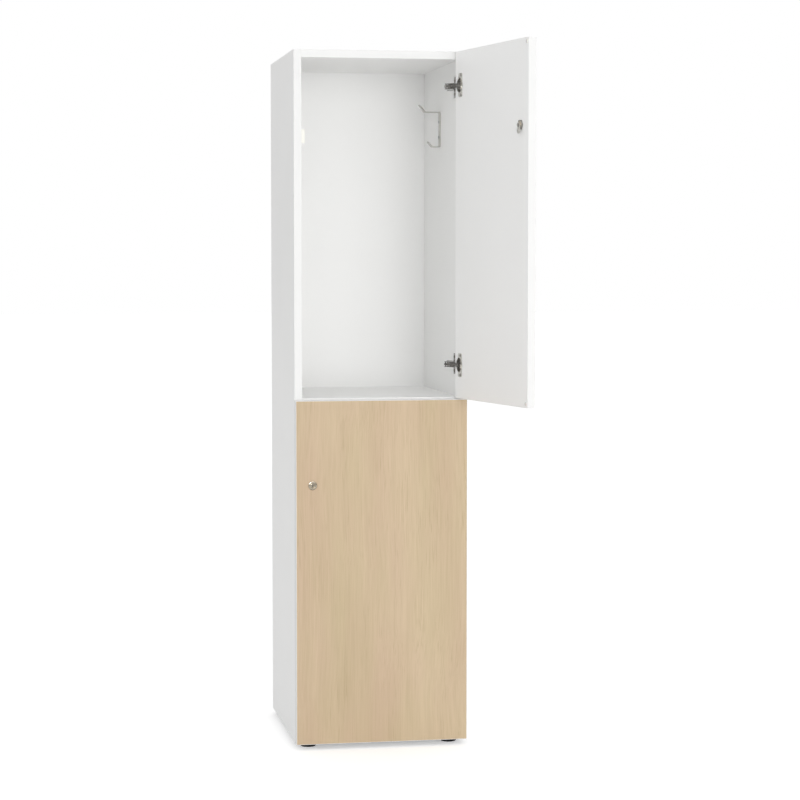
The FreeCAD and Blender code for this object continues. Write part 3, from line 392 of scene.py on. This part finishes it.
lock_axes = {tier: LockAxis(joints[f"{tier}_lock_turn"]) for tier in TIERS}
print("locks point along:", {tier: axis.along.round(3).tolist() for tier, axis in lock_axes.items()})

# %% [markdown]
# ## Lock faces
#
# A cam lock shows a polished ring that swells round the plug and falls away to
# the door. The drawn barrel has its sizes and a plain bevel, so each barrel is
# turned once more with a fuller ring: a closed profile is carried round the
# lock's axis. The profile's sizes are read from the drawn barrel, as distances
# from the axis and along it.

# %% Turned lock barrels
LIP_DROP = 0.0009
TAIL_BEVEL = 0.0004
CREST_SHARE = 0.18
BEND_STEPS = 12
SHARP_DEGREES = 40
TURNS = 144
angles = np.linspace(0, 2 * np.pi, TURNS, endpoint=False)
circle = np.stack([np.cos(angles), np.sin(angles)], -1)


def ring_quads(rings, closed):
    """Quads between rings of TURNS points, in order, with the last joined to the first where closed."""
    ring, spot = np.meshgrid(np.arange(rings if closed else rings - 1), np.arange(TURNS), indexing="ij")
    after, beside = (ring + 1) % rings, (spot + 1) % TURNS
    return np.stack([ring * TURNS + spot, ring * TURNS + beside,
                     after * TURNS + beside, after * TURNS + spot], -1).reshape(-1, 4).tolist()


def stand_in(node, ending, body, finish, points, faces):
    """A new piece that takes a drawn part's place on its body, smooth but for its sharp edges."""
    made = bpy.data.meshes.new(f"{node} {ending}")
    made.from_pydata(points.reshape(-1, 3).tolist(), [], faces)
    made.shade_smooth()
    made.set_sharp_from_angle(angle=math.radians(SHARP_DEGREES))
    made.materials.append(finish)
    piece = bpy.data.objects.new(f"{node}_{ending}", made)
    bpy.context.scene.collection.objects.link(piece)
    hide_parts(node)
    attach(piece, body)


def ring_profile(radii, levels):
    """Closed profile of radius and level: a lip and a crest as quarter ellipses, then rim, body and bore."""
    bore, body, rim = radii[0], radii[1], radii[-1]
    front, tail = levels[0], levels[-1]
    seat = levels[levels < 0][-1]
    crest = bore + (rim - bore) * CREST_SHARE
    bend = np.linspace(0, np.pi / 2, BEND_STEPS)
    lip = np.stack([crest - (crest - bore) * np.cos(bend), front + LIP_DROP * (1 - np.sin(bend))], -1)
    fall = np.stack([crest + (rim - crest) * np.sin(bend), seat - (seat - front) * np.cos(bend)], -1)
    rest = [(body, seat), (body, tail - TAIL_BEVEL), (body - TAIL_BEVEL, tail), (bore, tail)]
    return np.concatenate([lip, fall[1:], rest])


def turn_barrel(tier):
    """Carry the profile round the lock's axis and close the ring."""
    axis = lock_axes[tier]
    spots, levels = axis.read(f"{tier}_lock_barrel")
    radii = np.linalg.norm(spots, axis=1)
    profile = ring_profile(np.unique(radii.round(4)), np.unique(levels.round(4)))
    outlines = profile[:, :1, None] * circle
    points = axis.place(outlines, np.repeat(profile[:, 1:], TURNS, 1))
    stand_in(f"{tier}_lock_barrel", "turned", f"{tier}_door", finishes["bright_lock"], points,
             ring_quads(len(profile), True))
    return profile[:, 0].max()


print("barrel radius in mm:", [round(turn_barrel(tier) * 1000, 2) for tier in TIERS])

# %% [markdown]
# ## Plugs and keyways
#
# The plug that the key turns has a slightly domed face, which gathers the room
# into a bright upper half and a dark middle. It could be cut with a boolean,
# but rings that start as the keyway's outline and end as the plug's circle give
# a clean dome round a clean slot. The shade inside the keyway is painted: the
# finish turns dark with depth behind the face, and depth is the object
# coordinate along the axis.

# %% Turned plugs
FACE_DROP = 0.0009
SLOT_DEPTH = 0.004
SLOT_POWER = 0.3
DOME_RINGS = 16
INSIDE_RIM = 0.9
TIP_SHARE = 0.05
TOUCH = 0.00005


def plate_with_painted_keyway_shade(tier, axis, face):
    """Polished plate with painted shade: dark where it lies deeper behind the face than the dome's edge."""
    material = plated(f"{tier} plug, polished plate", *LOCK_PLATE)
    tree = material.node_tree
    shader = tree.nodes["Principled BSDF"]
    tone = shader.inputs["Base Color"].links[0].from_socket
    place = add_node(tree, "ShaderNodeTexCoord").outputs["Object"]
    level = add_node(tree, "ShaderNodeVectorMath", {0: place, 1: axis.along}, operation="DOT_PRODUCT")
    edge = float(face + axis.start @ axis.along) + FACE_DROP
    depth = add_node(tree, "ShaderNodeMapRange", {"Value": level.outputs["Value"], "From Min": edge,
                     "From Max": edge + FACE_DROP}).outputs["Result"]
    # The near-black colour is painted shade inside the keyway.
    colour = add_node(tree, "ShaderNodeMixRGB", {"Fac": depth, "Color1": tone, "Color2": linear("#1C1A17")})
    tree.links.new(colour.outputs["Color"], shader.inputs["Base Color"])
    return material


def turn_plug(tier):
    """Rings (1 - s) k + s c from the keyway k to the circle c, at level drop (r/R)^2, then side and drive.

    The keyway is a superellipse, x = w sgn(cos a) |cos a|^p and y = h sgn(sin a) |sin a|^p, and the
    square drive is the circle divided by the larger of |cos a| and |sin a|.
    """
    axis = lock_axes[tier]
    spots, levels = axis.read(f"{tier}_lock_plug")
    reach = np.linalg.norm(spots, axis=1)
    radius, face, back = reach.max(), levels.min(), levels.max()
    tail = np.unique(levels.round(5))[-2]
    slot = np.abs(spots[(levels < face + TOUCH) & (reach < INSIDE_RIM * radius)]).max(0)
    drive = np.abs(spots[levels > back - TOUCH]).max()
    keyway = slot * np.sign(circle) * np.abs(circle) ** SLOT_POWER
    square = drive * circle / np.abs(circle).max(1)[:, None]
    share = np.linspace(0, 1, DOME_RINGS)[:, None, None]
    dome = (1 - share) * keyway + share * radius * circle
    domed = face + FACE_DROP * (np.linalg.norm(dome, axis=2) / radius) ** 2
    outlines = np.concatenate([[TIP_SHARE * keyway, keyway], dome,
                               [radius * circle, square, square, TIP_SHARE * square]])
    slot_floor, shoulder, end = (np.full((2, TURNS), level) for level in (face + SLOT_DEPTH, tail, back))
    points = axis.place(outlines, np.concatenate([slot_floor, domed, shoulder, end]))
    caps = [list(range(TURNS))[::-1], list(range((len(outlines) - 1) * TURNS, len(outlines) * TURNS))]
    stand_in(f"{tier}_lock_plug", "domed", f"{tier}_lock", plate_with_painted_keyway_shade(tier, axis, face), points,
             ring_quads(len(outlines), False) + caps)
    return slot * 2


print("keyways in mm:", [(turn_plug(tier) * 1000).round(2).tolist() for tier in TIERS])

# %% [markdown]
# ## A screw's form
#
# A drawn screw is a plain pin with a low head. What the eye looks for is the
# cross that the driver fits. A boolean could cut it, but a height over rings of
# points does as well: the head's dome, less the depth of a cross with soft
# walls, and then the rim, the underside and the shank.

# %% The form of a screw
AROUND = 48
HEAD_RINGS = 15
CROWDING = 0.2
CROSS_WIDTH, CROSS_REACH, CROSS_DEPTH = 0.16, 0.6, 0.6
INNER_SHARE, POINT_SHARE = 0.02, 0.05


def cross_recess(x, y, radius):
    """Depth share of a cross: 1 where min(max(|x|-w, |y|-a), max(|y|-w, |x|-a)) < -w/2, 0 at its rim."""
    half_width, arm = CROSS_WIDTH * radius, CROSS_REACH * radius
    upright = np.maximum(np.abs(x) - half_width, np.abs(y) - arm)
    across = np.maximum(np.abs(y) - half_width, np.abs(x) - arm)
    inside = np.clip(-2 * np.minimum(upright, across) / half_width, 0, 1)
    return inside * inside * (3 - 2 * inside)


def screw_form(radius, length, head):
    """Rings from the head's middle over its rim to the shank's end, turned about Z, the top at z = 0.

    The dome is z = -head/2 * max(0, 2 r/radius - 1)^2, less the cross's depth times the head's height.
    Angles are t - 0.2 sin(4 t), closer together at the arms of the cross.
    """
    turn = np.linspace(0, 2 * np.pi, AROUND, endpoint=False)
    turn = turn - CROWDING * np.sin(4 * turn)
    top = np.linspace(INNER_SHARE, 1, HEAD_RINGS) * radius
    shank = radius / 2
    ring = np.concatenate([top, [radius, shank, shank, shank * POINT_SHARE]])
    drop = np.concatenate([-head / 2 * np.clip(2 * top / radius - 1, 0, 1) ** 2,
                           [-head, -head, -length + shank, -length]])
    x, y = np.outer(ring, np.cos(turn)), np.outer(ring, np.sin(turn))
    z = np.repeat(drop[:, None], AROUND, 1)
    z[:len(top)] -= CROSS_DEPTH * head * cross_recess(x[:len(top)], y[:len(top)], radius)
    return np.stack([x, y, z], -1).reshape(-1, 3), len(ring)


print("points in a screw:", len(screw_form(1.0, 4.0, 0.5)[0]))

# %% [markdown]
# ## Screws in their places
#
# Each group of drawn screws gets new ones in the same places, with the finish
# of its slot. The places come from the drawn parts: their points fall into
# clumps, one for each screw, and a gap wider than a head's radius along either
# axis parts two clumps.

# %% Screws with a cross recess
HEAD_RADIUS = 0.0035
LEVER_HEAD_RADIUS = 0.0046
HEAD_HEIGHT = 0.0016
RIGHT = np.array([1.0, 0.0, 0.0])
BACK = np.array([0.0, 1.0, 0.0])


def clumps(points, axis, gap):
    """Parts points into groups that stand more than a gap apart along an axis."""
    along = points @ axis
    order = np.argsort(along)
    cuts = np.flatnonzero(np.diff(along[order]) > gap) + 1
    return [points[group] for group in np.split(order, cuts)]


def make_screws(node, body, out, radius):
    """One object with a screw in each place that the drawn node has one, heads facing out."""
    side = UP if abs(out @ UP) < 0.5 else RIGHT
    axes = np.stack([np.cross(side, out), side, out])
    groups = [b for a in clumps(mesh_points(node), axes[1], radius) for b in clumps(a, axes[0], radius)]
    spans = [group @ axes.T for group in groups]
    middles = np.array([(span.min(0) + span.max(0)) / 2 for span in spans])
    length = float(np.ptp(spans[0][:, 2]))
    middles[:, 2] += length / 2
    form, rings = screw_form(radius, length, min(HEAD_HEIGHT, length))
    placed = (middles[:, None, :] + form[None]) @ axes
    ring, spot = np.meshgrid(np.arange(rings - 1), np.arange(AROUND), indexing="ij")
    beside = (spot + 1) % AROUND
    quads = np.stack([ring * AROUND + spot, (ring + 1) * AROUND + spot,
                      (ring + 1) * AROUND + beside, ring * AROUND + beside], -1).reshape(-1, 4)
    starts = np.arange(len(groups)) * len(form)
    faces = (starts[:, None, None] + quads[None]).reshape(-1, 4)
    ends = np.stack([np.arange(AROUND), (rings - 1) * AROUND + np.arange(AROUND)[::-1]])
    caps = (starts[:, None, None] + ends[None]).reshape(-1, AROUND)
    stand_in(node, "crossed", body, finishes[slots[node]], placed, faces.tolist() + caps.tolist())
    return len(groups)


screw_groups = [
    ("hook_screws", "carcass", -RIGHT, HEAD_RADIUS),
    ("hinge_plate_screws", "carcass", -RIGHT, HEAD_RADIUS),
    ("hinge_arm_screws", "carcass", -RIGHT, HEAD_RADIUS),
    ("strike_screws", "carcass", RIGHT, HEAD_RADIUS),
    ("back_screws", "carcass", BACK, HEAD_RADIUS),
    ("foot_screws", "carcass", -UP, HEAD_RADIUS),
]
for tier, axis in lock_axes.items():
    screw_groups.append((f"{tier}_cup_screws", f"{tier}_door", axis.along, HEAD_RADIUS))
    screw_groups.append((f"{tier}_lever_screw", f"{tier}_lock", axis.along, LEVER_HEAD_RADIUS))
print("screws:", {group[0]: make_screws(*group) for group in screw_groups})

# %% [markdown]
# ## Floor
#
# The photograph has a plain white ground. A wide floor under the feet carries
# the shadow, and glows a little to the camera so that it reads as white away
# from it.

# %% Floor
FLOOR_HALF_WIDTH = 40.0
FLOOR_CLOUD_MM = 900
FLOOR_GLOW = 0.36
PURE_WHITE = (1.0, 1.0, 1.0, 1.0)
floor_level = cad_box[0][2]


def ground(half_width, level):
    """A square grid x, y in [-half_width, half_width] at one height, as two numpy axes crossed."""
    axis = np.linspace(-half_width, half_width, 3)
    x, y = np.meshgrid(axis, axis)
    points = np.stack([x, y, np.full_like(x, level)], -1).reshape(-1, 3)
    first = (np.arange(2)[:, None] * 3 + np.arange(2)).reshape(-1, 1)
    faces = first + np.array([0, 1, 4, 3])
    mesh = bpy.data.meshes.new("studio floor")
    mesh.from_pydata(points.tolist(), [], faces.tolist())
    return mesh


def seen_directly(tree):
    """One where a camera or glass ray looks, zero where light only bounces or mirrors."""
    path = add_node(tree, "ShaderNodeLightPath")
    return add_node(tree, "ShaderNodeMath", {0: path.outputs["Is Camera Ray"],
                    1: path.outputs["Is Transmission Ray"]}, operation="MAXIMUM").outputs["Value"]


def pale_floor():
    """Painted floor: wide noise blends two pale greys, and it glows only where it is seen directly."""
    material, tree, shader, place = start_finish("pale studio floor", Roughness=0.9,
                                                 Emission_Color=PURE_WHITE)
    cloud = add_node(tree, "ShaderNodeTexNoise", {"Vector": place, "Scale": per_metre(FLOOR_CLOUD_MM),
                                                  "Detail": 2.0})
    tone = blend_colours(tree, cloud.outputs["Fac"], "#E9E9E9", "#EEEEEE")
    tree.links.new(tone, shader.inputs["Base Color"])
    glow = add_node(tree, "ShaderNodeMath", {0: seen_directly(tree), 1: FLOOR_GLOW}, operation="MULTIPLY")
    tree.links.new(glow.outputs["Value"], shader.inputs["Emission Strength"])
    return material


floor = bpy.data.objects.new("studio_floor", ground(FLOOR_HALF_WIDTH, floor_level))
bpy.context.scene.collection.objects.link(floor)
floor.data.materials.append(pale_floor())
print("floor at", round(floor_level, 4))

# %% [markdown]
# ## World
#
# The world is white to the eye and lights the locker evenly. In reflections it
# is bright overhead and dimmer low down, as a studio is, or the metal would
# look like chalk.

# %% World
EVEN_LIGHT = 0.79
MIRROR_LOW, MIRROR_HIGH = 0.25, 1.8
world = bpy.data.worlds.new("white studio")
bpy.context.scene.world = world
world.use_nodes = True
sky = world.node_tree
way = add_node(sky, "ShaderNodeTexCoord").outputs["Generated"]
height = add_node(sky, "ShaderNodeSeparateXYZ", {"Vector": way}).outputs["Z"]
mirrored = add_node(sky, "ShaderNodeMapRange", {"Value": height, "From Min": -0.1, "From Max": 0.8,
                    "To Min": MIRROR_LOW, "To Max": MIRROR_HIGH}).outputs["Result"]
path = add_node(sky, "ShaderNodeLightPath")
bounced = add_node(sky, "ShaderNodeMix", {"Factor": path.outputs["Is Glossy Ray"], "A": EVEN_LIGHT,
                   "B": mirrored}).outputs["Result"]
level = add_node(sky, "ShaderNodeMix", {"Factor": seen_directly(sky), "A": bounced, "B": 1.0})
sky.links.new(level.outputs["Result"], sky.nodes["Background"].inputs["Strength"])
sky.nodes["Background"].inputs["Color"].default_value = PURE_WHITE
print("even light", EVEN_LIGHT)

# %% [markdown]
# ## Soft light
#
# In the photograph the fronts are brightest, the sides a step darker and the
# inside nearly as light, with no hard shadow. So most of the light is the even
# world, and one large soft box in front, a little to the right, reaches into
# the open compartment. Flat metal would mirror that box as a white patch, so it
# is kept out of reflections, and a card up on the left, which lights nothing
# else, gives the metal its sparkle.

# %% Soft boxes
def soft_box(name, place, target, size, watts, in_mirrors):
    """A square area light at a place, turned to face a target, for mirrors only or for all but them."""
    lamp = bpy.data.lights.new(name, "AREA")
    lamp.shape = "SQUARE"
    lamp.size = size
    lamp.energy = watts
    box = bpy.data.objects.new(name, lamp)
    box.location = place
    box.rotation_euler = (Vector(target) - Vector(place)).to_track_quat("-Z", "Y").to_euler()
    box.visible_glossy = in_mirrors
    box.visible_diffuse = not in_mirrors
    bpy.context.scene.collection.objects.link(box)


BOX_SIZE = 2.4
soft_box("front box", place=(0.65, -5.6, 1.25), target=(0.0, 0.0, 1.0), size=BOX_SIZE, watts=100,
         in_mirrors=False)
soft_box("sparkle card", place=(-2.4, -4.6, 2.9), target=(0.0, 0.0, 0.8), size=BOX_SIZE, watts=120,
         in_mirrors=True)

# %% [markdown]
# ## Camera
#
# The photograph was taken from some 5.4 m away, 10 degrees to the left of the
# front and a little above the middle, with a long lens. The numbers come from
# matching the edges of the boards in the photograph to the real sizes.

# %% Camera
PIXELS = 800
FOCAL_PIXELS = 2277.2
SENSOR_MM = 36.0
CAMERA_PLACE = (-0.8743, -5.3701, 1.1201)
DEGREES_DOWN, DEGREES_RIGHT = 3.594, 10.112
camera = bpy.data.cameras.new("photo camera")
camera.sensor_width = SENSOR_MM
camera.lens = FOCAL_PIXELS / PIXELS * SENSOR_MM
camera.clip_end = 200.0
viewer = bpy.data.objects.new("photo camera", camera)
viewer.location = CAMERA_PLACE
viewer.rotation_euler = (math.radians(90 - DEGREES_DOWN), 0.0, math.radians(-DEGREES_RIGHT))
bpy.context.scene.collection.objects.link(viewer)
bpy.context.scene.camera = viewer
bpy.context.scene.view_settings.view_transform = "Standard"
print("lens", round(camera.lens, 2), "mm")
